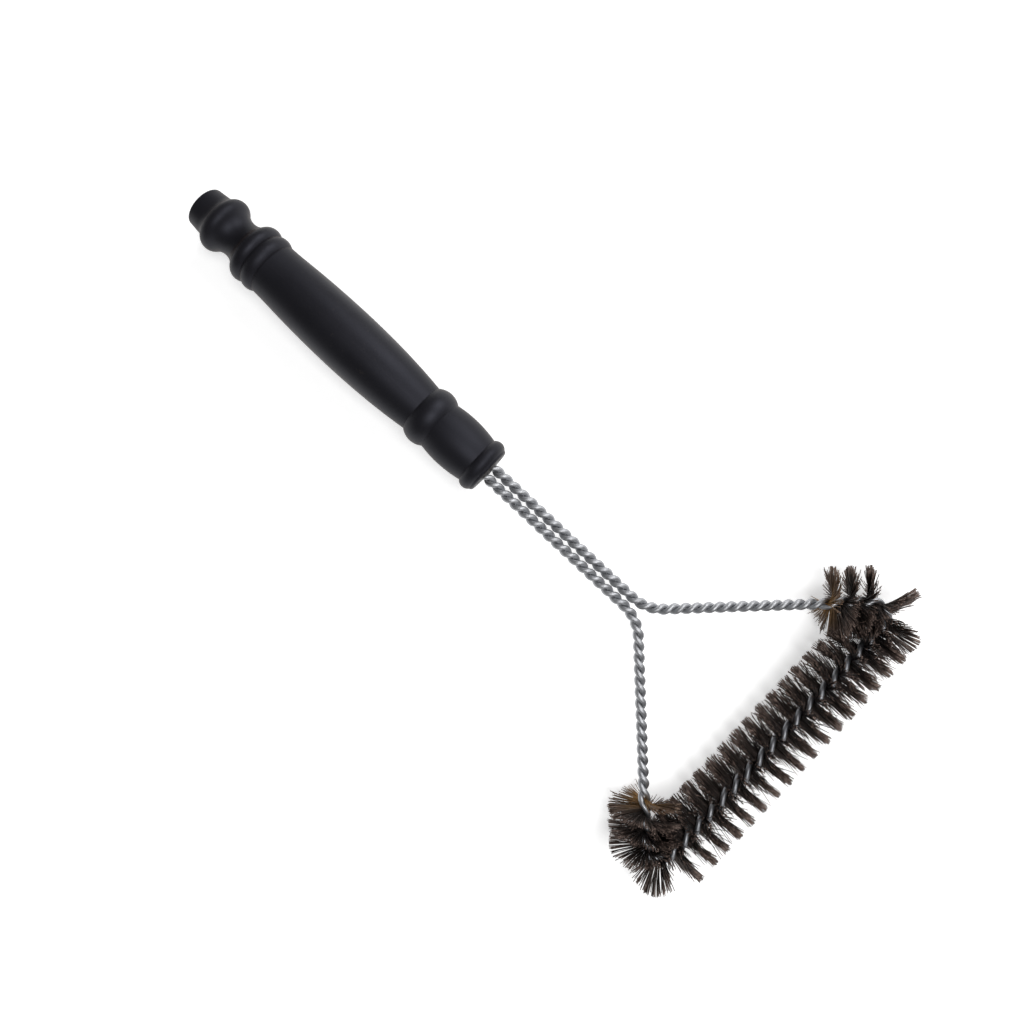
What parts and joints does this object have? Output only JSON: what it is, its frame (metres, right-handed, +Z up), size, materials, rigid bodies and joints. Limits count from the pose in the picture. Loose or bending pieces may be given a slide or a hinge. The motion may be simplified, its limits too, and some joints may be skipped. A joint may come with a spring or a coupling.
{
  "type": "grill cleaning brush",
  "caption": "Turned handle with a forked twisted-wire frame and a wide triangular head of steel bristles for scraping cooking grates clean.",
  "frame": {"origin": "below the middle of the overall box, on the plane that the bristle tips rest on", "axes": "+X from the butt of the handle to the head, +Y across the head to the right-hand arm seen with the handle towards the user, +Z up when the brush lies flat"},
  "size_m": [0.306, 0.1518, 0.028],
  "materials": {
    "handle_plastic": "satin black, fine moulded grain",
    "potting_resin": "dark set resin",
    "core_steel": "bright drawn wire, galvanised",
    "bristle_steel": "dark spring-steel filaments"
  },
  "bodies": {
    "root": {"handle": "handle_plastic", "stem_potting": "potting_resin", "core_wire_a": "core_steel", "core_wire_b": "core_steel", "base_tuft_01": "bristle_steel", "base_tuft_02": "bristle_steel", "base_tuft_03": "bristle_steel", "base_tuft_04": "bristle_steel", "base_tuft_05": "bristle_steel", "base_tuft_06": "bristle_steel", "base_tuft_07": "bristle_steel", "base_tuft_08": "bristle_steel", "base_tuft_09": "bristle_steel", "base_tuft_10": "bristle_steel", "base_tuft_11": "bristle_steel", "base_tuft_12": "bristle_steel", "base_tuft_13": "bristle_steel", "base_tuft_14": "bristle_steel", "base_tuft_15": "bristle_steel", "base_tuft_16": "bristle_steel", "right_corner_tuft_1": "bristle_steel", "right_corner_tuft_2": "bristle_steel", "right_arm_tuft_1": "bristle_steel", "right_arm_tuft_2": "bristle_steel", "right_arm_tuft_3": "bristle_steel", "left_corner_tuft_1": "bristle_steel", "left_corner_tuft_2": "bristle_steel", "left_arm_tuft_1": "bristle_steel", "left_arm_tuft_2": "bristle_steel", "left_arm_tuft_3": "bristle_steel"}
  },
  "joints": []
}
